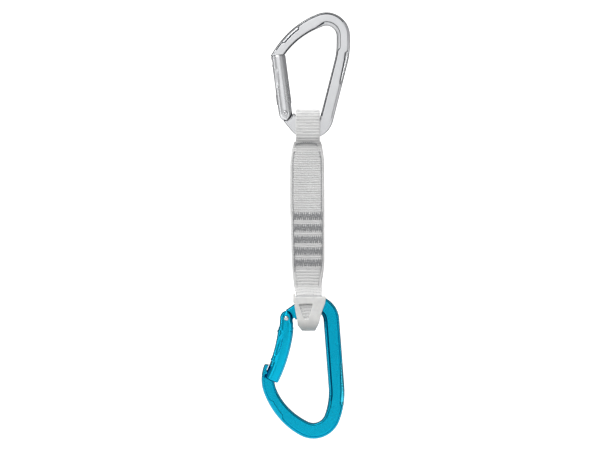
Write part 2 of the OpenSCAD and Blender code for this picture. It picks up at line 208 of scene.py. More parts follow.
def rubber(name, base, dark):
    m, nt, p = new_mat(name)
    L = nt.links.new
    co = scaled_coords(nt, (1, 1, 1))
    n1 = node(nt, "ShaderNodeTexNoise", Scale=220.0, Detail=4.0)
    n2 = node(nt, "ShaderNodeTexNoise", Scale=2400.0, Detail=2.0)
    L(co, n1.inputs["Vector"])
    L(co, n2.inputs["Vector"])
    mix = nt.nodes.new("ShaderNodeMix")
    mix.data_type = "RGBA"
    mix.inputs["A"].default_value = dark
    mix.inputs["B"].default_value = base
    L(ramp(nt, n1.outputs["Fac"], [(0.3, (0.3, 0.3, 0.3, 1)), (0.6, (1, 1, 1, 1))]), mix.inputs["Factor"])
    L(mix.outputs["Result"], p.inputs["Base Color"])
    L(ramp(nt, n1.outputs["Fac"], [(0.3, (0.36, 0.36, 0.36, 1)), (0.7, (0.5, 0.5, 0.5, 1))]), p.inputs["Roughness"])
    p.inputs["Subsurface Weight"].default_value = 0.12
    p.inputs["Subsurface Radius"].default_value = (1.0, 0.9, 0.8)
    p.inputs["Subsurface Scale"].default_value = 0.0012
    b = node(nt, "ShaderNodeBump", Strength=0.25, Distance=0.00004)
    L(n2.outputs["Fac"], b.inputs["Height"])
    L(b.outputs[0], p.inputs["Normal"])
    return m


M_SILVER = metal("silver_anodised", srgb(204, 205, 207), srgb(182, 184, 187), 0.34, rough_var=0.06)
M_SILVER_GATE = metal("silver_gate", srgb(212, 213, 215), srgb(186, 188, 191), 0.30, brush=0.25)
M_TURQ = metal("turquoise_anodised", srgb(0, 164, 198), srgb(0, 148, 182), 0.27, coat=0.12, rough_var=0.06)
M_TURQ_GATE = metal("turquoise_gate", srgb(0, 176, 212), srgb(0, 156, 192), 0.22, coat=0.12, brush=0.12)
# painted shade: darker metal for the steps and grooves beside the flat faces, where shade falls
M_SILVER_PAINTED_SHADE = metal("silver_shadow", srgb(86, 88, 92), srgb(64, 66, 70), 0.5)
M_TURQ_PAINTED_SHADE = metal("turquoise_shadow", srgb(0, 74, 108), srgb(0, 56, 86), 0.42)
# dagger facets: lower roughness, and a lighter base colour that is painted highlight
M_SILVER_PAINTED_HIGHLIGHT = metal("silver_painted_highlight", srgb(240, 241, 243), srgb(226, 228, 231), 0.2)
M_TURQ_PAINTED_HIGHLIGHT = metal("turquoise_painted_highlight", srgb(70, 224, 252), srgb(40, 204, 238), 0.2)
M_STEEL = metal("stainless_steel", srgb(200, 200, 202), srgb(165, 166, 168), 0.18)
M_SPRING = metal("spring_steel", srgb(150, 150, 152), srgb(110, 110, 113), 0.26)
M_STRAP = fabric("white_polyester", srgb(243, 243, 242), srgb(206, 206, 206), 0.00042, 0.55)
# painted shade: darker fabric for rib grooves, stitch channels, gaps between layers and a band above the keeper's rim
M_STRAP_PAINTED_SHADE = fabric("white_polyester_painted_shade", srgb(204, 204, 205), srgb(170, 170, 172), 0.00042, 0.5)
M_THREAD = thread_mat("grey_thread", srgb(186, 187, 189), srgb(134, 135, 138))
M_SIDE = thread_mat("side_thread", srgb(196, 197, 198), srgb(140, 141, 144))
M_RUBBER = rubber("white_rubber", srgb(242, 242, 240), srgb(226, 226, 225))


# ---------------------------------------------------------------- mesh helpers
def make(name, verts, faces, mat, sharp=38, marks=None, mat2=None):
    me = bpy.data.meshes.new(name)
    me.from_pydata((np.asarray(verts, float) * MM).tolist(), [], faces)
    if marks is not None:
        for q in (mat, *(mat2 if isinstance(mat2, tuple) else (mat2,))):
            me.materials.append(q)
        me.polygons.foreach_set("material_index", np.asarray(marks, dtype=np.int32))
    me.validate()
    bm = bmesh.new()
    bm.from_mesh(me)
    bmesh.ops.remove_doubles(bm, verts=bm.verts, dist=1e-7)
    bmesh.ops.recalc_face_normals(bm, faces=bm.faces)
    bm.to_mesh(me)
    bm.free()
    ob = bpy.data.objects.new(name, me)
    scene.collection.objects.link(ob)
    if mat and marks is None:
        me.materials.append(mat)
    finish_shading(ob, sharp)
    return ob


def finish_shading(ob, sharp=38):
    me = ob.data
    for p in me.polygons:
        p.use_smooth = True
    me.set_sharp_from_angle(angle=math.radians(sharp))


def rows_faces(n, m, cap0=True, cap1=True, base=0):
    f = []
    for i in range(n - 1):
        a, b = base + i * m, base + (i + 1) * m
        for j in range(m):
            k = (j + 1) % m
            f.append((a + j, a + k, b + k, b + j))
    if cap0:
        f.append(tuple(base + j for j in reversed(range(m))))
    if cap1:
        f.append(tuple(base + (n - 1) * m + j for j in range(m)))
    return f


def from_rows(name, rows, mat, sharp=38, mark=None, mat2=None):
    """mark is an array, one row per station and one column per face round it, 1 where mat2 goes."""
    rows = np.asarray(rows, float)
    n, m, _ = rows.shape
    marks = None
    if mark is not None:
        marks = np.concatenate([np.asarray(mark, int)[: n - 1].ravel(), [0, 0]])
    return make(name, rows.reshape(-1, 3), rows_faces(n, m), mat, sharp, marks, mat2)


def boxm(name, lo, hi):
    v = [(x, y, z) for x in (lo[0], hi[0]) for y in (lo[1], hi[1]) for z in (lo[2], hi[2])]
    f = [(0, 1, 3, 2), (4, 6, 7, 5), (0, 4, 5, 1), (2, 3, 7, 6), (0, 2, 6, 4), (1, 5, 7, 3)]
    return make(name, v, f, None)


def lathe_rows(profile, n=48):
    """profile is (radius, height) pairs; the axis is +Z."""
    a = np.linspace(0, 2 * np.pi, n, endpoint=False)
    return [[(r * math.cos(t), r * math.sin(t), z) for t in a] for r, z in profile]


def place_along(pts, p, a):
    """Points with z ahead, x to the left of heading a, and y as it is, put at p in the front plane."""
    pts = np.asarray(pts, float)
    h = (math.cos(math.radians(a)), math.sin(math.radians(a)))
    l = (-h[1], h[0])
    out = np.empty_like(pts)
    out[..., 0] = p[0] + pts[..., 2] * h[0] + pts[..., 0] * l[0]
    out[..., 1] = pts[..., 1]
    out[..., 2] = p[1] + pts[..., 2] * h[1] + pts[..., 0] * l[1]
    return out


def move_along(ob, p, a):
    me = ob.data
    co = np.empty(len(me.vertices) * 3)
    me.vertices.foreach_get("co", co)
    co = place_along(co.reshape(-1, 3) / MM, p, a) * MM
    me.vertices.foreach_set("co", co.ravel())
    bm = bmesh.new()
    bm.from_mesh(me)
    bmesh.ops.recalc_face_normals(bm, faces=bm.faces)
    bm.to_mesh(me)
    bm.free()
    return ob


def cut(ob, tool, op="DIFFERENCE"):
    md = ob.modifiers.new("cut", "BOOLEAN")
    md.operation = op
    md.object = tool
    md.solver = "EXACT"
    dg = bpy.context.evaluated_depsgraph_get()
    dg.update()
    new = bpy.data.meshes.new_from_object(ob.evaluated_get(dg))
    ob.modifiers.clear()
    old = ob.data
    ob.data = new
    bpy.data.meshes.remove(old)
    bpy.data.objects.remove(tool, do_unlink=True)
    return ob


def join(name, obs):
    vs, fs, ms, mi, base = [], [], [], [], 0
    for o in obs:
        me = o.data
        co = np.empty(len(me.vertices) * 3)
        me.vertices.foreach_get("co", co)
        vs.append(co.reshape(-1, 3))
        slots = []
        for mm in me.materials:
            if mm not in ms:
                ms.append(mm)
            slots.append(ms.index(mm))
        for p in me.polygons:
            fs.append(tuple(base + i for i in p.vertices))
            mi.append(slots[p.material_index] if slots else 0)
        base += len(me.vertices)
        bpy.data.objects.remove(o, do_unlink=True)
    me = bpy.data.meshes.new(name)
    me.from_pydata(np.concatenate(vs).tolist(), [], fs)
    for mm in ms:
        me.materials.append(mm)
    me.polygons.foreach_set("material_index", mi)
    ob = bpy.data.objects.new(name, me)
    scene.collection.objects.link(ob)
    return ob


def tube(points, r, sides=8, closed_caps=True):
    """Rows of a round tube along points, in mm."""
    P = np.asarray(points, float)
    T = np.gradient(P, axis=0)
    T /= np.linalg.norm(T, axis=1)[:, None]
    ref = np.array([0.0, 1.0, 0.0])
    rows = []
    for i, (p, t) in enumerate(zip(P, T)):
        if abs(t @ ref) > 0.95:
            u = np.cross(t, [1.0, 0, 0])
        else:
            u = np.cross(t, ref)
        u /= np.linalg.norm(u)
        v = np.cross(t, u)
        rr = r[i] if hasattr(r, "__len__") else r
        a = np.linspace(0, 2 * np.pi, sides, endpoint=False)
        rows.append(p + rr * (np.cos(a)[:, None] * u + np.sin(a)[:, None] * v))
    return np.array(rows)


def many_tubes(name, lists, r, mat, sides=8):
    vs, fs, base = [], [], 0
    for pts in lists:
        rows = tube(pts, r, sides)
        n, m, _ = rows.shape
        vs.append(rows.reshape(-1, 3))
        fs += rows_faces(n, m, base=base)
        base += n * m
    return make(name, np.concatenate(vs), fs, mat, 60)


def smooth(a, b, x):
    t = np.clip((x - a) / (b - a), 0, 1)
    return t * t * (3 - 2 * t)


# ---------------------------------------------------------------- paths
def rt(a):
    a = math.radians(a)
    return np.array([math.sin(a), -math.cos(a)])


def fw(a):
    a = math.radians(a)
    return np.array([math.cos(a), math.sin(a)])


def run_path(p, a, segs, step):
    """Stations along straights ("l", length) and clockwise bends ("a", radius, degrees): arrays of x z, heading and distance."""
    P, A, S, s = [np.array(p, float)], [a], [0.0], 0.0
    p = np.array(p, float)
    for g in segs:
        if g[0] == "l":
            n = max(2, int(g[1] / step))
            for i in range(1, n + 1):
                P.append(p + fw(a) * g[1] * i / n)
                A.append(a)
                S.append(s + g[1] * i / n)
            p = p + fw(a) * g[1]
            s += g[1]
        else:
            R, sw = g[1], g[2]
            L = R * math.radians(sw)
            n = max(2, int(L / min(step, R * 0.035)))
            c = p + R * rt(a)
            for i in range(1, n + 1):
                b = a - sw * i / n
                P.append(c - R * rt(b))
                A.append(b)
                S.append(s + L * i / n)
            a -= sw
            p = c - R * rt(a)
            s += L
    return np.array(P), np.array(A), np.array(S)


def pix(u, v):
    return np.array([(u - 325) * 0.766, (26 - v) * 0.766])


NF, NP = 15, 9


def section(w, d, x1, x2, h, tin=0.9, tout=0.9, ch_out=0.0, ch_in=0.0):
    """A forged section, x outwards, with a flat face between x1 and x2 that stands h above rounded flanks. ch_* turn a flank into a straight facet."""
    D = d / 2 - h
    t = np.linspace(math.pi / 2, 0, NF)
    e = 0.5
    ax = lambda q: np.sin(t) ** q
    ay = lambda q: np.cos(t) ** q
    inx = x1 - e - (w / 2 + x1 - e) * ax(tin)
    iny = D * ay(tin)
    iny = iny * (1 - ch_in) + ch_in * D * (1 - (ax(1.0)) ** 1.4)
    ox = x2 + e + (w / 2 - x2 - e) * ax(tout)[::-1]
    oy = D * ay(tout)[::-1]
    oy = oy * (1 - ch_out) + ch_out * D * (1 - (ax(1.0)[::-1]) ** 1.3)
    g = min(0.22, h * 0.5)
    px = np.concatenate([[x1 - e * 0.45, x1 - 0.02], np.linspace(x1 + 0.12, x2 - 0.12, NP), [x2 + 0.02, x2 + e * 0.45]])
    py = np.concatenate([[D - g, D + h * 0.93], np.full(NP, d / 2), [D + h * 0.93, D - g]])
    x = np.concatenate([inx, px, ox])
    y = -np.concatenate([iny, py, oy])
    X = np.concatenate([x, x[1:-1][::-1]])
    Y = np.concatenate([y, -y[1:-1][::-1]])
    return X, Y


M_ROW = 2 * (2 * NF + NP + 4) - 2


def mark_row(inner=False, outer=False, flank_in=0, flank_out=0):
    """Which faces round a station take the painted shade of the steps beside the flat face."""
    r = np.zeros(M_ROW, int)
    n = 2 * NF + NP + 4
    cols = []
    if inner:
        cols += [NF - 1, NF]
    if outer:
        cols += [n - NF - 2, n - NF - 1]
    cols += list(range(NF - 1 - flank_in, NF - 1))
    cols += list(range(n - NF, n - NF + flank_out))
    for j in cols:
        r[j] = 1
        r[2 * n - 3 - j] = 1
    return r


def place(P, a, X, Y):
    l = -rt(a)
    return np.stack([P[0] + X * l[0], Y, P[1] + X * l[1]], axis=-1)


def tongue_rows(rivet, a_away, X, Y, phi, reach=7.2):
    """Rows from a full section near the gate's rivet down to the tongue's end. a_away is the heading away from the rivet along the leg; inner side is X < 0."""
    h = fw(a_away)
    out_n = None
    r_c = np.sqrt(np.maximum(6.2**2 - X**2, 0))
    inner = (6.05 + np.cos(math.radians(phi)) * np.abs(X)) / math.sin(math.radians(phi))
    r_min = np.where(X < 0, np.maximum(r_c, inner), r_c)
    rows = []
    for k in range(5):
        f = k / 4
        rows.append((reach + (r_min - reach) * f, X, Y))
    Yt = np.clip(Y, -2.0, 2.0)
    rows.append((r_min, X, np.clip(Y, -2.3, 2.3)))
    rows.append((r_min - 0.02, X, Yt))
    # the tongue is narrower than the leg, and ends in a half circle about the rivet
    k = 3.4 / np.abs(X).max()
    rows.append((r_min - 0.1, X * k, Yt))
    rows.append((r_min * 0.5, X * k, Yt))
    rows.append((np.zeros_like(X), X * k, Yt))
    for t in np.linspace(0.12, 0.985, 12):
        rows.append((np.full_like(X, -3.4 * t), X * k * math.sqrt(1 - t**2), Yt))
    return rows


def tongue_place(rivet, a_away, rows, left_sign):
    """left_sign is 1 where +X (outwards) is to the left of the heading away from the rivet."""
    h = fw(a_away)
    l = -rt(a_away) * left_sign
    out = []
    for r, X, Y in rows:
        out.append(np.stack([rivet[0] + r * h[0] + X * l[0], Y, rivet[1] + r * h[1] + X * l[1]], axis=-1))
    return out


STEP = 0.55

# upper frame path, from the nose over the basket to the tongue
up_c = np.array([1.0, -7.7])
up_a0 = up_c - 13.0 * rt(20)
up_arm_c = up_a0 + 64.0 * rt(20)
up_nose = up_arm_c - 64.0 * rt(58.6)
UP_SEGS = [("a", 64.0, 38.6), ("a", 13.0, 110), ("l", 6.0), ("a", 57.0, 14.2), ("l", 45.0), ("a", 13.4, 126), ("l", 12.8)]
uP, uA, uS = run_path(up_nose, 58.6, UP_SEGS, STEP)
up_rivet = uP[-1]
UG_A = 97.4
UG_L = 44.3

lo_e = np.array([-8.66, -225.8])
lo_s0 = lo_e - 13.6 * rt(34.4)
lo_rivet = lo_s0 - 16.0 * fw(34.4)
LO_SEGS = [("l", 16.0), ("a", 13.6, 120.1), ("l", 51.6), ("a", 57.0, 24.3), ("a", 15.3, 97.0), ("a", 55.0, 41.0), ("a", 25.0, 44.0)]
lP, lA, lS = run_path(lo_rivet, 34.4, LO_SEGS, STEP)
LG_A0, LG_SWEEP, LG_R = -92.5, 23.9, 118.0
lg_c = lo_rivet + LG_R * rt(LG_A0)
lg_end = lg_c - LG_R * rt(LG_A0 - LG_SWEEP)
LOCK_A = -104.5


def s_of(P, S, u, v):
    q = pix(u, v)
    return S[np.argmin(((P - q) ** 2).sum(1))]


# ---------------------------------------------------------------- upper frame
def build_upper_frame():
    so = lambda u, v: s_of(uP, uS, u, v)
    s_arm_end = 64.0 * math.radians(38.6)
    s_sc0, s_sc1 = so(283, 45), so(300, 30)
    s_in0, s_in1 = so(312, 24), so(326, 21)
    s_st0, s_st1 = so(343, 48), so(343, 53)
    s_dg0, s_dg1 = so(343, 52), so(336.5, 82)
    s_top = so(341, 24)
    s_low = so(327, 112)
    rows, mk = [], []
    # a short stub beyond the nose, cut off flat afterwards
    stub = 3.5
    for i in range(4):
        s = -stub + stub * i / 4
        X, Y = section(8.8, 9.4, -3.3, 2.3, 0.35)
        rows.append(place(up_nose + fw(58.6) * s, 58.6, X, Y))
        mk.append(mark_row(True, False, 3))
    for P, a, s in zip(uP, uA, uS):
        if s > uS[-1] - 7.25:
            break
        k = smooth(0, s_arm_end, s)
        w = 8.8 + 1.6 * k
        d = 9.4 + 0.6 * k
        sc = smooth(s_sc0, s_sc0 + 3.0, s) * (1 - smooth(s_sc1 - 1.2, s_sc1 + 0.8, s))
        edge_o = 2.1 + 1.9 * sc
        wide = smooth(s_in0, s_in1, s) * (1 - smooth(s_st0, s_st1, s))
        edge_i = 1.1 + 2.0 * wide + 0.5 * smooth(s_st0, s_st1, s)
        dg = smooth(s_dg0 - 0.9, s_dg0 + 0.9, s) * (1 - smooth(s_dg1 - 1.0, s_dg1 + 2.0, s))
        fade = (s_dg1 - s) / (s_dg1 - s_dg0)
        edge_o += 1.7 * dg * (0.35 + 0.65 * max(0.0, min(1.0, fade)))
        h = 0.52 + 0.1 * sc
        low = smooth(s_low, s_low + 8, s)
        h *= 1 - 0.75 * low
        ends = smooth(0, 5, s)
        h *= 0.5 + 0.5 * ends
        X, Y = section(w, d, -w / 2 + edge_i, w / 2 - edge_o, h, tin=0.86, tout=0.86, ch_out=0.6 * dg + 0.3 * sc)
        rows.append(place(P, a, X, Y))
        # marks of 1 put painted shade on the steps beside the flat face and on the flanks
        line_o = 2.0 < s < s_top or s_dg0 - 1.2 < s < s_dg1 + 0.8
        fo = 2 if 2.0 < s < s_top - 8 else (1 if line_o else 0)
        line_i = s < s_low + 4
        fi = 6 if s < s_in0 else (3 if s < s_in1 - 2 else (2 if s > s_st0 and s < s_low + 4 else 0))
        mk.append(mark_row(line_i, line_o, fi, fo))
        # marks of 2 put painted highlight on the dagger facet
        if s_dg0 + 1.2 < s < s_dg1 - 2:
            for j in range(29, 34):
                mk[-1][j] = mk[-1][83 - j] = 2
        # a line of painted shade on the outer flank along the scoop
        if s_sc0 + 0.6 < s < s_sc1 - 1.8:
            for j in (36, 37):
                mk[-1][j] = mk[-1][83 - j] = 1
    X, Y = section(10.3, 9.9, -5.15 + 1.6, 5.15 - 2.1, 0.13, tin=0.86, tout=0.86)
    t = tongue_place(up_rivet, uA[-1] + 180, tongue_rows(up_rivet, uA[-1] + 180, X, Y, 117.6), -1)
    rows += t
    # the step down to the tongue gets painted shade
    for i in range(len(t)):
        mk.append(np.full(M_ROW, 1 if 4 <= i <= 6 else 0))
    ob = from_rows("upper_frame_metal", rows, M_SILVER, 32, mk, (M_SILVER_PAINTED_SHADE, M_SILVER_PAINTED_HIGHLIGHT))
    tool = boxm("tool", (-12, -9, UG_L - 16), (12, 9, UG_L + 0.45))
    move_along(tool, up_rivet, UG_A)
    cut(ob, tool)
    lug = lug_mesh("lug_u", up_rivet, UG_A, 39.6, 7.2, 1)
    ob = join("upper_frame_metal", [ob, lug])
    finish_shading(ob, 32)
    return ob


def lug_mesh(name, p, a, dist, reach, s, grow=0.0, out=4.5, inn=2.3, mat=None):
    """The key-shaped lug, its round head lying across the gate's slot."""
    r, half = 2.3 + grow, 1.3 + grow
    ang0 = math.asin(half / r)
    pts = []
    for t in np.linspace(ang0, 2 * math.pi - ang0, 40):
        pts.append((r * math.sin(t), dist + r * math.cos(t)))
    pts.append((-half, dist + reach))
    pts.append((half, dist + reach))
    lo, hi = (-inn, out) if s > 0 else (-out, inn)
    e = 0.0 if grow else 0.25
    rows = []
    for x, k in ((lo, 1 - e / r), (lo + e, 1.0), (hi - e, 1.0), (hi, 1 - e / r)) if e else ((lo, 1.0), (hi, 1.0)):
        rows.append([(x, y * k, dist + (z - dist) * (k if z < dist + r else 1)) for y, z in pts])
    ob = from_rows(name, rows, mat or (M_SILVER if s > 0 else M_TURQ), 38)
    return move_along(ob, p, a)


# ---------------------------------------------------------------- gates
def gate_tools(ob, p, a, lock_a, lock, s, ear_a):
    tool = boxm("t", (-9, -2.45, -9), (9, 2.45, 7))
    cut(ob, move_along(tool, p, ear_a))
    for y0, y1, r in ((-9, 9, 1.55), (-9, -4.9, 2.3), (4.9, 9, 2.3)):
        rows = [[(r * math.cos(t), y, r * math.sin(t)) for t in np.linspace(0, 2 * np.pi, 40, endpoint=False)] for y in (y0, y1)]
        tool = from_rows("t", rows, None)
        cut(ob, move_along(tool, p, ear_a))
    return ob


def build_upper_gate():
    r0 = 5.7
    zs = np.concatenate([-r0 * np.cos(np.linspace(0.12, math.pi / 2, 16)), np.arange(0.6, UG_L - 0.9, 0.35), [UG_L - 0.75, UG_L - 0.62, UG_L - 0.35, UG_L - 0.1, UG_L]])
    th = np.linspace(0, 2 * np.pi, 112, endpoint=False)
    rows = []
    for z in zs:
        r = np.full_like(th, r0)
        # scalloped finger grip on the outer side, +x here
        g = 0.0
        for i in range(9):
            zc = 16.4 + 2.15 * i
            g = max(g, math.exp(-(((z - zc) / 0.72) ** 2)))
        win = np.clip((np.cos(th) - 0.80) / 0.12, 0, 1)
        r = r - 0.35 * g * win
        # a thumb scoop at each side of it
        t = (z - 26.0) / 7.6
        if abs(t) < 1:
            w = 0.34 * math.sqrt(1 - t * t)
            for sg in (-1, 1):
                dth = np.abs((th - sg * (0.98 + 0.14 * t) + np.pi) % (2 * np.pi) - np.pi)
                r = r - 0.85 * (1 - smooth(w * 0.55, w + 0.03, dth)) * (1 - t * t) ** 0.5
        # milled flat that carries the grip
        flat = smooth(14.0, 15.0, np.array(z)) * (1 - smooth(36.4, 37.0, np.array(z)))
        lim = r0 - 0.42 * flat
        x = r * np.cos(th)
        y = r * np.sin(th)
        x = np.minimum(x, lim)
        if z > UG_L - 0.76:
            k = {0: 0.995, 1: 0.985, 2: 0.95, 3: 0.905, 4: 0.87}[int(np.argmin(abs(np.array([UG_L - 0.75, UG_L - 0.62, UG_L - 0.35, UG_L - 0.1, UG_L]) - z)))]
            x, y = x * (0.3 * k + 0.7), y * (0.3 * k + 0.7)
        if z < 0:
            k = math.sqrt(max(0.0, 1 - (z / r0) ** 2))
            x = x * k
            y = y * (0.86 + 0.14 * k)
        rows.append(np.stack([x, y, np.full_like(x, z)], axis=-1))
    ob = from_rows("upper_gate_bar", rows, M_SILVER_GATE, 32)
    move_along(ob, up_rivet, UG_A)
    gate_tools(ob, up_rivet, UG_A, UG_A, 39.6, 1, UG_A)
    bore = from_rows("t", lathe_rows([(3.0, 1.0), (3.0, 23.0), (0.4, 24.4)]), None)
    cut(ob, move_along(bore, up_rivet, UG_A))
    cut(ob, lug_mesh("t", up_rivet, UG_A, 39.6, 10, 1, grow=0.5, out=9, inn=3.0, mat=M_SILVER_GATE))
    ob.name = ob.data.name = "upper_gate_bar"
    finish_shading(ob, 32)
    return ob


def build_lower_gate():
    R = LG_R
    L = R * math.radians(LG_SWEEP)
    r0, r1 = 5.5, 6.1
    ss = np.concatenate([-r0 * np.cos(np.linspace(0.12, math.pi / 2, 16)), np.arange(0.5, L - 1.1, 0.3), [L - 0.9, L - 0.65, L - 0.3, L]])
    th = np.linspace(0, 2 * np.pi, 112, endpoint=False)
    rows = []
    for s in ss:
        mid = smooth(9.3, 10.4, np.array(s)) * (1 - smooth(34.4, 35.4, np.array(s)))
        sides = smooth(0.25, 0.85, np.abs(np.cos(th)))
        inner_w = float(smooth(1.5, 5.0, np.array(s)) + 0.25 * smooth(9.4, 10.2, np.array(s)))
        r = r0 + (r1 - r0) * np.where(np.cos(th) < 0, float(mid), inner_w) * sides
        # the outer side is to the right of the heading here, -x
        g = 0.0
        for i in range(8):
            g = max(g, math.exp(-(((s - 14.6 - 2.3 * i) / 0.78) ** 2)))
        win = np.clip((-np.cos(th) - 0.80) / 0.12, 0, 1)
        r = r - 0.35 * g * win
        t = (s - 22.0) / 8.4
        if abs(t) < 1:
            w = 0.36 * math.sqrt(1 - t * t)
            for sg in (-1, 1):
                dth = np.abs((th - np.pi - sg * (1.0 - 0.14 * t) + np.pi) % (2 * np.pi) - np.pi)
                r = r - 0.9 * (1 - smooth(w * 0.55, w + 0.03, dth)) * (1 - t * t) ** 0.5
        lim = r0 + (r1 - r0) * float(mid) - 0.45 * float(smooth(11.2, 12.2, np.array(s)) * (1 - smooth(33.2, 33.8, np.array(s))))
        x, y = np.maximum(r * np.cos(th), -lim), r * np.sin(th)
        if s > L - 0.91:
            k = [1.0, 0.98, 0.93, 0.86][int(np.argmin(abs(np.array([L - 0.9, L - 0.65, L - 0.3, L]) - s)))]
            x, y = x * k, y * k
        if s < 0:
            k = math.sqrt(max(0.0, 1 - (s / r0) ** 2))
            x = x * k
            y = y * (0.86 + 0.14 * k)
            P, a = lo_rivet + fw(LG_A0) * s, LG_A0
        else:
            a = LG_A0 - math.degrees(s / R)
            P = lg_c - R * rt(a)
        rows.append(place(P, a, x, y))
    ob = from_rows("lower_gate_bar", rows, M_TURQ_GATE, 32)
    gate_tools(ob, lo_rivet, LG_A0, LOCK_A, 44.6, -1, LG_A0)
    bore = from_rows("t", lathe_rows([(3.0, 1.0), (3.0, 18.6), (0.4, 20.0)]), None)
    cut(ob, move_along(bore, lo_rivet, LG_A0 - 1.6))
    cut(ob, lug_mesh("t", lo_rivet, LOCK_A, 44.6, 12, -1, grow=0.5, out=9, inn=3.0, mat=M_TURQ_GATE))
    ob.name = ob.data.name = "lower_gate_bar"
    finish_shading(ob, 32)
    return ob


# ---------------------------------------------------------------- lower frame
def build_lower_frame():
    so = lambda u, v: s_of(lP, lS, u, v)
    X, Y = section(10.8, 10.4, -5.4 + 1.6, 5.4 - 1.9, 0.13, tin=0.86, tout=0.86)
    rows = tongue_place(lo_rivet, lA[0], tongue_rows(lo_rivet, lA[0], X, Y, 101.0), 1)[::-1]
    n = len(rows)
    # the step down to the tongue gets painted shade
    mk = [np.full(M_ROW, 1 if n - 7 <= i <= n - 6 else 0) for i in range(n)]
    s_leg = 16.0
    s_dg0, s_dg1 = so(334.9, 362), so(336.8, 401)
    s_arm0 = so(303.8, 428.5)
    s_arm1 = so(270, 391)
    s_sc0, s_sc1 = so(286, 414), so(275, 399)
    for P, a, s in zip(lP, lA, lS):
        if s < 7.25:
            continue
        k = smooth(8, 22, s)
        w = 10.8 + 1.4 * k
        d = 10.4 + 0.4 * k
        k2 = smooth(s_arm0 - 4, s_arm1, s)
        w = w - 2.2 * k2
        d = d - 0.5 * k2
        face = smooth(12, 26, s)
        dg = smooth(s_dg0 - 0.5, s_dg0 + 1.5, s) * (1 - smooth(s_dg1 - 0.5, s_dg1 + 3.0, s))
        grow = float(np.clip((s - s_dg0) / (s_dg1 - s_dg0), 0, 1))
        edge_o = 1.9 + 1.5 * dg * (0.25 + 0.75 * grow)
        sc = smooth(s_sc0 - 1.0, s_sc0 + 1.0, s) * (1 - smooth(s_sc1 - 1.0, s_sc1 + 2.0, s))
        edge_o += 1.9 * sc + 0.5 * smooth(s_dg1, s_arm0, s)
        edge_i = 1.5 + 1.5 * smooth(s_leg + 8, s_leg + 20, s) - 1.3 * smooth(s_dg1 - 6, s_arm0 - 12, s)
        h = (0.13 + 0.45 * face) * (1 - 0.55 * smooth(s_arm1 - 4, s_arm1 + 4, s))
        X, Y = section(w, d, -w / 2 + edge_i, w / 2 - edge_o, h, tin=0.84, tout=0.84, ch_out=0.7 * dg + 0.3 * sc)
        rows.append(place(P, a, X, Y))
        # marks of 1 put painted shade on the steps beside the flat face and on the inner flank
        line_o = (12 < s < s_leg + 22) or (s_dg0 - 1.0 < s < s_dg1 + 8) or (s_sc0 - 1.5 < s < s_sc1 + 1.5)
        line_i = 20 < s < s_arm1 - 4
        mk.append(mark_row(line_i, line_o, 2 if s < s_dg1 else 0))
        # marks of 2 put painted highlight on the dagger facet
        if s_dg0 + 1.5 < s < s_dg1 + 1.5:
            for j in range(29, 29 + int(round(1 + 4 * grow))):
                mk[-1][j] = mk[-1][83 - j] = 2
    # round off the tip of the hood
    P, a = lP[-1], lA[-1]
    for t in (0.35, 0.65, 0.85, 0.96):
        X2 = X * math.sqrt(1 - t * t) * 0.98
        rows.append(place(P + fw(a) * 1.6 * t, a, X2, Y * math.sqrt(1 - (t * 0.9) ** 2)))
        mk.append(mark_row())
    ob = from_rows("lower_frame_metal", rows, M_TURQ, 32, mk, (M_TURQ_PAINTED_SHADE, M_TURQ_PAINTED_HIGHLIGHT))
    # room for the end of the gate
    trows = []
    for a in np.linspace(LG_A0 - 15, LG_A0 - LG_SWEEP - 0.2, 40):
        P = lg_c - LG_R * rt(a)
        trows.append(place(P, a, np.array([-5.88, 5.88, 5.88, -5.88]), np.array([-8.0, -8.0, 8.0, 8.0])))
    cut(ob, from_rows("t", trows, None))
    tool = boxm("t", (0, -9, -15), (12, 9, 0.45))
    cut(ob, move_along(tool, lg_end, LG_A0 - LG_SWEEP))
    lug = lug_mesh("lug_l", lo_rivet, LOCK_A, 44.6, 6.5, -1, out=6.3)
    ob = join("lower_frame_metal", [ob, lug])
    finish_shading(ob, 32)
    return ob


# ---------------------------------------------------------------- rivets, plungers and springs
def build_rivet(name, p):
    prof = [(0.001, -6.3), (0.5, -6.28), (1.1, -6.12), (1.6, -5.85), (1.86, -5.5), (1.88, -5.24), (1.5, -5.2), (1.5, 5.2), (1.88, 5.24), (1.86, 5.5), (1.6, 5.85), (1.1, 6.12), (0.5, 6.28), (0.001, 6.3)]
    if name.startswith("upper"):
        prof = [(0.001, -5.55), (0.55, -5.6), (0.75, -5.95), (1.1, -6.12), (1.6, -5.9), (1.86, -5.5), (1.88, -5.24), (1.5, -5.2), (1.5, 5.2), (1.88, 5.24), (1.86, 5.5), (1.6, 5.9), (1.1, 6.12), (0.75, 5.95), (0.55, 5.6), (0.001, 5.55)]
    rows = np.array(lathe_rows(prof, 40))
    rows = np.stack([rows[..., 0] + p[0], rows[..., 2], rows[..., 1] + p[1]], axis=-1)
    return from_rows(name, rows, M_STEEL, 40)


def build_plunger(name, p, a):
    prof = [(0.3, 3.85), (1.2, 3.95), (1.6, 4.3), (1.7, 4.7), (1.7, 8.1), (2.45, 8.25), (2.5, 8.4), (2.5, 10.2), (2.4, 10.35), (1.1, 10.4), (1.1, 15.0), (0.9, 15.3), (0.3, 15.3)]
    ob = from_rows(name, lathe_rows(prof, 40), M_STEEL, 40)
    return move_along(ob, p, a)


def build_spring(name, p, a, z0, h, turns):
    n = int(28 * turns)
    t = np.linspace(0, 1, n)
    ang = t * turns * 2 * np.pi
    pts = np.stack([2.05 * np.cos(ang), 2.05 * np.sin(ang), z0 + h * t], axis=-1)
    ob = make(name, tube(pts, 0.34, 10).reshape(-1, 3), rows_faces(n, 10), M_SPRING, 60)
    return move_along(ob, p, a)


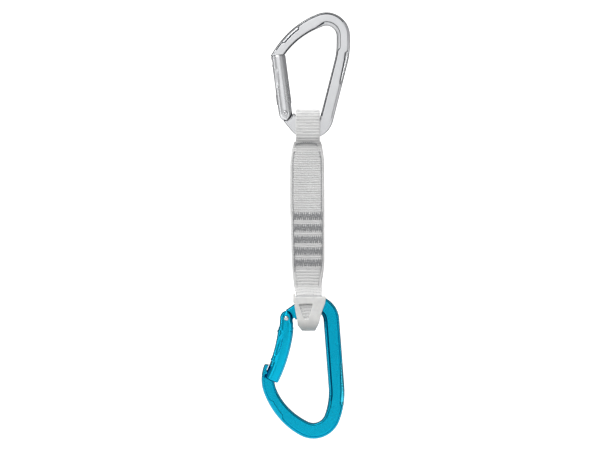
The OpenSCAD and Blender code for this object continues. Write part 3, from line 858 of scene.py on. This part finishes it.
# ---------------------------------------------------------------- sling
Z_SPLIT = -163.0
L_PTS = [(-86, -23.3), (-88.9, -23.6), (-92.7, -24.9), (-96, -25.5), (-101.5, -26.4), (-107, -26.8), (-134, -26.8), (-149, -26.4), (-179, -25.5), (-188, -24.9), (-197, -24.0), (-205, -22.6), (-210, -21.0), (-219, -19.9), (-225, -18.9), (-232, -16.9)]
R_PTS = [(-86, -3.1), (-88.9, -2.9), (-93, -2.1), (-99, -1.1), (-105, -0.6), (-134, -0.4), (-181, -0.4), (-189, -1.2), (-197, -2.6), (-205, -2.2), (-210, -2.6), (-219, -4.9), (-225, -6.6), (-232, -8.9)]


def edge(pts, z):
    z = np.asarray(z, float)
    zz = np.array([p[0] for p in pts][::-1], float)
    xx = np.array([p[1] for p in pts][::-1], float)
    # smoothed between the points
    out = 0
    for o in (-2.5, -1.2, 0, 1.2, 2.5):
        out = out + np.interp(z + o, zz, xx)
    return out / 5


def rib(t, sharp=2.2):
    """Rounded ribs with narrow grooves, 1 at a rib's crest and 0 in a groove, for a phase counted in ribs."""
    f = t - np.floor(t)
    return 1 - np.abs(2 * f - 1) ** sharp


def ripple(x, z, seed):
    return 0.5 * np.sin(x * 0.9 + seed) * np.sin(z * 0.37 + 1.7 * seed) + 0.5 * np.sin(x * 0.31 - z * 0.21 + 2.1 * seed)


def slab(name, z0, z1, ends, layers=3, seed=0.0):
    """The sewn body of the sling from z0 down to z1: ribbed faces, a stitched channel near each edge, and its layers showing at the edges."""
    dz = 0.28
    n = int((z0 - z1) / dz) + 1
    zs = np.linspace(z0, z1, n)
    mx = 66
    me_ = 22
    rows, mk = [], []
    u = np.linspace(-1, 1, mx)
    v = np.linspace(0, 1, me_ + 2)[1:-1]
    for z in zs:
        xl, xr = float(edge(L_PTS, z)), float(edge(R_PTS, z))
        c, hw = (xl + xr) / 2, (xr - xl) / 2
        T = 2.68
        pinch = 0.0
        for zt in (-145.7, -154.6, -163.5, -172.4, -181.3):
            pinch = max(pinch, math.exp(-(((z - zt) / 3.6) ** 4)))
        T = T - 0.16 * pinch
        e0 = 1.0 - smooth(0.0, 1.7, min(z0 - z, 3)) if "top" in ends else 0.0
        e1 = 1.0 - smooth(0.0, 1.7, min(z - z1, 3)) if "foot" in ends else 0.0
        T = T * (1 - 0.35 * max(e0, e1))
        x = c + hw * 0.985 * u
        dist = hw - np.abs(x - c)
        body = smooth(0.15, 0.9, dist)
        channel = np.exp(-(((dist - 2.25) / 0.42) ** 2))
        inner = smooth(2.3, 3.1, dist)
        pitch = 1.76 if z > -148 else (1.95 if z > -186 else 2.45)
        bend = (0.35 - 1.0 * float(smooth(-186, -200, z))) * (1 - ((x - c) / hw) ** 2)
        ph = (z + bend + 0.05 * ripple(x, z, seed)) / pitch
        r = rib(ph)
        amp = 0.36 * inner + 0.16 * (1 - inner)
        face = T - 0.40 + amp * r - 0.30 * channel + 0.04 * ripple(x, z, seed + 3)
        face = face * (0.62 + 0.38 * body) - 0.02
        front = np.stack([x, -face, np.full_like(x, z)], axis=-1)
        back = np.stack([x[::-1], face[::-1], np.full_like(x, z)], axis=-1)
        # edges, with a groove between the layers
        yy = -face[-1] + 2 * face[-1] * v
        grooves = 0
        for kk in range(1, layers):
            yc = -T + 2 * T * kk / layers
            grooves = grooves + np.exp(-(((yy - yc) / 0.22) ** 2))
        bulge = 0.30 * np.sqrt(np.clip(1 - (yy / (T + 0.05)) ** 2, 0, 1))
        xe = hw * 0.985 + bulge - 0.42 * grooves + 0.05 * np.sin(z * 2 * np.pi / 0.9)
        right = np.stack([c + xe, yy, np.full_like(yy, z)], axis=-1)
        left = np.stack([c - xe[::-1], yy[::-1], np.full_like(yy, z)], axis=-1)
        rows.append(np.concatenate([front, right, back, left]))
        # painted shade: rib grooves, the stitched channel and the gaps between layers take the darker fabric
        low = ((r < 0.30) & (dist > 2.6)) | (channel > 0.7)
        g = (grooves > 0.6)
        mk.append(np.concatenate([low, g, low[::-1], g[::-1]]))
    return from_rows(name, rows, M_STRAP, 70, mk, M_STRAP_PAINTED_SHADE)


def ribbon(name, path, width_at, t, pitch, seed=0.0, arch=0.15, shade=None):
    """A ribbed strap of thickness t along a path of (y, z) points; width_at(z) gives its two edges."""
    P = np.asarray(path, float)
    seg = np.linalg.norm(np.diff(P, axis=0), axis=1)
    S = np.concatenate([[0], np.cumsum(seg)])
    step = 0.3
    n = int(S[-1] / step) + 1
    ss = np.linspace(0, S[-1], n)
    y = np.interp(ss, S, P[:, 0])
    z = np.interp(ss, S, P[:, 1])
    ty, tz = np.gradient(y), np.gradient(z)
    ln = np.hypot(ty, tz)
    ny, nz = -tz / ln, ty / ln
    for _ in range(3):
        ny[1:-1] = (ny[:-2] + 2 * ny[1:-1] + ny[2:]) / 4
        nz[1:-1] = (nz[:-2] + 2 * nz[1:-1] + nz[2:]) / 4
    mx = 58
    u = np.linspace(-1, 1, mx)
    rows, mk = [], []
    for i in range(n):
        xl, xr = width_at(z[i])
        c, hw = (xl + xr) / 2, (xr - xl) / 2
        x = c + hw * 0.97 * u
        dist = hw - np.abs(x - c)
        body = smooth(0.05, 0.8, dist)
        r = rib((ss[i] * 1.0 + arch * (1 - u**2) * (1 if i < n // 2 else -1) + 0.05 * ripple(x, ss[i], seed)) / pitch)
        f = (t / 2 - 0.28 + 0.28 * r * smooth(0.2, 1.4, dist)) * (0.6 + 0.4 * body)
        k = 8
        vv = np.linspace(0, 1, k + 2)[1:-1]
        off_r = -f[-1] + 2 * f[-1] * vv
        xe = hw * 0.97 + 0.22 * np.sqrt(np.clip(1 - (off_r / (t / 2)) ** 2, 0, 1))
        off = np.concatenate([f, -off_r, -f[::-1], off_r])
        xs = np.concatenate([x, c + xe, x[::-1], c - xe])
        rows.append(np.stack([xs, y[i] + ny[i] * off, z[i] + nz[i] * off], axis=-1))
        # painted shade: rib grooves take the darker fabric, and inside the shade band all but the very edges do, as
        # painted shadow
        low = (r < 0.32) & (dist > 0.5)
        if shade and shade[0] < z[i] < shade[1]:
            low = dist > 0.2
        no = np.zeros(k, bool)
        mk.append(np.concatenate([low, no, low[::-1], no]))
    return from_rows(name, rows, M_STRAP, 70, mk, M_STRAP_PAINTED_SHADE)


def arc_pts(cy, cz, r, a0, a1, n=40):
    t = np.radians(np.linspace(a0, a1, n))
    return [(cy + r * math.cos(k), cz + r * math.sin(k)) for k in t]


def spline(pts, n=12):
    """Catmull-Rom through the points."""
    P = np.array([pts[0]] + list(pts) + [pts[-1]], float)
    out = []
    for i in range(1, len(P) - 2):
        for k in range(n):
            t = k / n
            out.append(0.5 * ((2 * P[i]) + (-P[i - 1] + P[i + 1]) * t + (2 * P[i - 1] - 5 * P[i] + 4 * P[i + 1] - P[i + 2]) * t * t + (-P[i - 1] + 3 * P[i] - 3 * P[i + 1] + P[i + 2]) * t**3))
    out.append(P[-2])
    return np.array(out)


def build_strap_top():
    m = 6.55
    left = spline([(-1.0, -93.4), (-1.25, -91.0), (-2.4, -89.2), (-5.0, -87.3), (-6.35, -84.5), (-m, -80.0), (-m, -76.0), (-m, -71.1)])
    top = arc_pts(0, -71.1, m, 180, 0, 50)[1:-1]
    right = [(-y, z) for y, z in left[::-1]]
    path = list(map(tuple, left)) + top + right
    loop = ribbon("loop", path, lambda z: (-22.55, -3.85), 1.75, 2.3, 0.4)
    body = slab("body", -90.2, Z_SPLIT, ("top",), 3, 0.7)
    # the outer layer's end, sewn over the loop
    P = spline([(-5.2, -88.6), (-3.9, -90.2), (-2.95, -91.6), (-2.62, -93.6), (-2.5, -96.0)])
    flap = lambda name, s: ribbon(name, [(s * (y + 0.75), z) for y, z in P], lambda z: (float(edge(L_PTS, z)) + 0.1, float(edge(R_PTS, z)) - 0.1), 1.3, 1.76, 1.1)
    return join("strap_upper_half", [loop, body, flap("fa", 1), flap("fb", -1)])


def build_strap_foot():
    m = 6.6
    left = spline([(-1.0, -196.0), (-1.35, -199.4), (-2.6, -201.6), (-4.8, -204.6), (-6.2, -206.9), (-6.62, -208.8), (-6.66, -212.0), (-m, -216.0), (-m, -219.5), (-m, -223.8)])
    bot = arc_pts(0, -223.8, m, 180, 360, 50)[1:-1]
    right = [(-y, z) for y, z in left[::-1]]
    path = list(map(tuple, left)) + bot + right
    # shade is a band of painted shadow on the strap just above the keeper's rim
    loop = ribbon("loop", path, lambda z: (float(edge(L_PTS, z)), float(edge(R_PTS, z))), 1.75, 2.45, 0.9, arch=1.1, shade=(-207.4, -206.2))
    body = slab("body", Z_SPLIT, -203.4, ("foot",), 3, 0.2)
    return join("strap_lower_half", [body, loop])


def build_bar_tacks():
    lists = []
    rng = np.random.default_rng(7)
    for s in (-1, 1):
        for i in range(5):
            z1 = -142.4 - 8.9 * i
            z0 = z1 - 6.5
            n = 30
            xl = float(edge(L_PTS, (z0 + z1) / 2)) + 1.7
            xr = float(edge(R_PTS, (z0 + z1) / 2)) - 1.7
            pts = []
            for k in range(n + 1):
                x = xl + (xr - xl) * k / n + rng.uniform(-0.12, 0.12)
                za = z1 + rng.uniform(-0.45, 0.1) if k % 2 == 0 else z0 + rng.uniform(-0.1, 0.45)
                pts.append((x, za))
            line = []
            for k in range(n):
                (xa, za), (xb, zb) = pts[k], pts[k + 1]
                for t in np.linspace(0, 1, 7, endpoint=False):
                    f = min(t, 1 - t)
                    depth = 2.42 + 0.30 * min(1.0, f / 0.14)
                    line.append((xa + (xb - xa) * t, s * depth, za + (zb - za) * t))
            line.append((pts[-1][0], s * 2.42, pts[-1][1]))
            lists.append(line)
            # a sparser second pass across the first
            pts2 = []
            for k in range(11):
                x = xl + (xr - xl) * (k + 0.5) / 11 + rng.uniform(-0.3, 0.3)
                pts2.append((x, (z1 - 0.7) if k % 2 else (z0 + 0.7)))
            line = []
            for k in range(10):
                (xa, za), (xb, zb) = pts2[k], pts2[k + 1]
                for t in np.linspace(0, 1, 8, endpoint=False):
                    line.append((xa + (xb - xa) * t, s * (2.40 + 0.16 * math.sin(math.pi * t)), za + (zb - za) * t))
            lists.append(line)
    return many_tubes("bar_tack_thread", lists, 0.25, M_THREAD, 7)


L_STITCH = [(-22.0, -90.3), (-23.3, -95.8), (-24.5, -100.3), (-24.6, -116.4), (-24.5, -142.5), (-24.1, -163.0), (-23.7, -181.0), (-23.0, -190.0)]
R_STITCH = [(-6.6, -90.3), (-5.0, -95.0), (-3.8, -100.3), (-2.9, -105.0), (-2.7, -138.6), (-2.1, -147.0), (-2.1, -176.0), (-2.6, -184.0), (-3.6, -190.0)]


def build_side_stitches():
    lists = []
    for s in (-1, 1):
        for pts in (L_STITCH, R_STITCH):
            P = spline(pts, 16)
            seg = np.linalg.norm(np.diff(P, axis=0), axis=1)
            S = np.concatenate([[0], np.cumsum(seg)])
            d = 6.0
            while d + 2.4 < S[-1]:
                t = np.linspace(d, d + 2.55, 9)
                k = np.linspace(0, 1, 9)
                x, z = np.interp(t, S, P[:, 0]), np.interp(t, S, P[:, 1])
                depth = 2.20 + 0.32 * np.clip(np.sin(np.pi * k) * 2.2, 0, 1)
                lists.append([(a, s * float(b), c) for a, b, c in zip(x, depth, z)])
                d += 3.0
    return many_tubes("side_stitch_thread", lists, 0.26, M_SIDE, 7)


def build_end_seam():
    lists = []
    for s in (-1, 1):
        for ph in (0.0, 0.5):
            n = 22
            line = []
            for k in range(n):
                for t in np.linspace(0, 1, 5, endpoint=False):
                    f = (k + t) / n
                    x = -21.9 + 15.5 * f
                    tri = t if k % 2 == 0 else 1 - t
                    arch = 0.9 * (2 * f - 1) ** 2
                    z = -88.95 - 1.5 * (tri * (1 - ph) + (1 - tri) * ph) - arch - 0.35 * ph
                    y = np.interp(z, [-96, -93.6, -91.6, -90.2, -88.6], [2.5, 2.6, 3.0, 3.95, 5.25]) + 0.15 * (z > -92)
                    line.append((x, s * (y - 0.12 * ph), z))
            lists.append(line)
        # it runs on down each side to the edge stitching
        for pts in (L_STITCH, R_STITCH):
            P = spline(pts, 16)
            P = P[P[:, 1] > -92.6]
            line = []
            for x, z in P:
                y = np.interp(z, [-96, -93.6, -91.6, -90.2, -88.6], [2.5, 2.6, 3.0, 3.95, 5.25]) + 0.05
                line.append((x, s * y, z))
            if len(line) > 3:
                lists.append(line)
    return many_tubes("end_seam_thread", lists, 0.25, M_THREAD, 7)


# ---------------------------------------------------------------- keeper
def build_keeper():
    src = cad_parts["keeper"]
    dg = bpy.context.evaluated_depsgraph_get()
    me = bpy.data.meshes.new_from_object(src.evaluated_get(dg))
    me.transform(src.matrix_world)
    ob = bpy.data.objects.new("keeper_rubber", me)
    scene.collection.objects.link(ob)
    ob.data.materials.clear()
    ob.data.materials.append(M_RUBBER)
    md = ob.modifiers.new("r", "REMESH")
    md.mode = "VOXEL"
    md.voxel_size = 0.00030
    sm = ob.modifiers.new("s", "SMOOTH")
    sm.factor = 0.5
    sm.iterations = 12
    dg = bpy.context.evaluated_depsgraph_get()
    dg.update()
    new = bpy.data.meshes.new_from_object(ob.evaluated_get(dg))
    ob.modifiers.clear()
    ob.data = new
    finish_shading(ob, 80)
    return ob


UF = build_upper_frame()
UG = build_upper_gate()
LF = build_lower_frame()
LG = build_lower_gate()
UR = build_rivet("upper_rivet_steel", up_rivet)
LR = build_rivet("lower_rivet_steel", lo_rivet)
UPL = build_plunger("upper_plunger_steel", up_rivet, UG_A)
LPL = build_plunger("lower_plunger_steel", lo_rivet, LG_A0 - 1.6)
USP = build_spring("upper_spring_wire", up_rivet, UG_A, 10.95, 11.3, 5)
LSP = build_spring("lower_spring_wire", lo_rivet, LG_A0 - 1.6, 10.95, 7.1, 4)
ST = build_strap_top()
SF = build_strap_foot()
BT = build_bar_tacks()
SS = build_side_stitches()
ES = build_end_seam()
KP = build_keeper()

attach(UF, "upper_carabiner")
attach(UR, "upper_carabiner")
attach(UG, "upper_gate_body")
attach(UPL, "upper_plunger_body")
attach(USP, "upper_gate_body")
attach(LF, "lower_carabiner")
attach(LR, "lower_carabiner")
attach(KP, "lower_carabiner")
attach(LG, "lower_gate_body")
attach(LPL, "lower_plunger_body")
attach(LSP, "lower_gate_body")
for ob, joint, p, a, z_end, length in ((USP, "upper_plunger_slide", up_rivet, UG_A, 22.6, 12.0), (LSP, "lower_plunger_slide", lo_rivet, LG_A0 - 1.6, 18.4, 7.8)):
    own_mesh(ob)
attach(ES, "sling_top")
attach(BT, "sling_middle")
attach(SS, "sling_middle")
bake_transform(ST)
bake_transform(SF)
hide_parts("upper_frame")
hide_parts("upper_rivet")
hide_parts("upper_gate")
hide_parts("upper_plunger")
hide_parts("upper_spring")
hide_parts("lower_frame")
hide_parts("lower_rivet")
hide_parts("keeper")
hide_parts("lower_gate")
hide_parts("lower_plunger")
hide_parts("lower_spring")
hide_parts("end_seam")
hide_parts("bar_tacks")
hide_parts("edge_stitching")
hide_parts("sling_upper_loop", "sling_body")
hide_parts("sling_lower_loop")


# ---------------------------------------------------------------- stage
def stage_mat(name, col, one_sided):
    m, nt, p = new_mat(name)
    p.inputs["Base Color"].default_value = col
    p.inputs["Roughness"].default_value = 0.9
    p.inputs["Specular IOR Level"].default_value = 0.1
    if one_sided:
        p.inputs["Emission Color"].default_value = (1, 1, 1, 1)
        p.inputs["Emission Strength"].default_value = 0.72
        g = nt.nodes.new("ShaderNodeNewGeometry")
        tr = nt.nodes.new("ShaderNodeBsdfTransparent")
        mx = nt.nodes.new("ShaderNodeMixShader")
        nt.links.new(g.outputs["Backfacing"], mx.inputs[0])
        nt.links.new(p.outputs[0], mx.inputs[1])
        nt.links.new(tr.outputs[0], mx.inputs[2])
        nt.links.new(mx.outputs[0], nt.nodes["Material Output"].inputs[0])
    return m


def plane(name, pts, mat):
    me = bpy.data.meshes.new(name)
    me.from_pydata(pts, [], [(0, 1, 2, 3)])
    ob = bpy.data.objects.new(name, me)
    scene.collection.objects.link(ob)
    me.materials.append(mat)
    return ob


flr = plane("floor", [(-4, -4, -0.352), (4, -4, -0.352), (4, 4, -0.352), (-4, 4, -0.352)], stage_mat("floor_pale", (0.86, 0.86, 0.86, 1), False))
back = plane("backdrop", [(-4, 0.30, -0.352), (4, 0.30, -0.352), (4, 0.30, 3.0), (-4, 0.30, 3.0)], stage_mat("backdrop_pale", (0.93, 0.93, 0.93, 1), True))
back.visible_shadow = False
back.visible_glossy = False
flr.visible_diffuse = False

w = bpy.data.worlds.new("studio")
scene.world = w
w.use_nodes = True
nt = w.node_tree
nt.nodes.clear()
wo = nt.nodes.new("ShaderNodeOutputWorld")
bg = nt.nodes.new("ShaderNodeBackground")
bg.inputs["Color"].default_value = (1, 1, 1, 1)
bg.inputs["Strength"].default_value = 0.30
nt.links.new(bg.outputs[0], wo.inputs[0])


def area(name, loc, target, size, power, size_y=None):
    l = bpy.data.lights.new(name, "AREA")
    l.energy = power
    l.shape = "RECTANGLE"
    l.size = size
    l.size_y = size_y or size
    o = bpy.data.objects.new(name, l)
    scene.collection.objects.link(o)
    o.location = loc
    d = Vector(target) - Vector(loc)
    o.rotation_euler = d.to_track_quat("-Z", "Y").to_euler()
    o.visible_camera = False
    return o


C = (-0.015, 0, -0.15)
area("front_card", (-0.5, -2.6, 0.75), C, 3.0, 19.5, 1.9)
area("key", (-0.45, -0.75, 0.75), C, 0.6, 6.6)
area("fill", (0.9, -0.9, -0.1), C, 0.5, 0.8)
wash = area("backdrop_wash", (0.0, -0.1, 1.5), (0, 0.3, -0.1), 1.2, 5)
wash.visible_glossy = False
area("rim_l", (-0.9, -0.15, -0.05), C, 0.10, 1.1, 1.1)
area("rim_r", (0.9, 0.05, -0.1), C, 0.10, 0.8, 0.9)

cam = bpy.data.cameras.new("camera")
co = bpy.data.objects.new("camera", cam)
scene.collection.objects.link(co)
scene.camera = co
D = 1.9
cam.sensor_width = 36.0
cam.lens = 36.0 * D / (610 * 0.000766)
co.location = ((305 - 325) * 0.000766, -D, (26 - 225) * 0.000766)
co.rotation_euler = (math.pi / 2, 0, 0)
cam.clip_start = 0.01
cam.clip_end = 30
scene.view_settings.view_transform = "Standard"
scene.view_settings.look = "None"
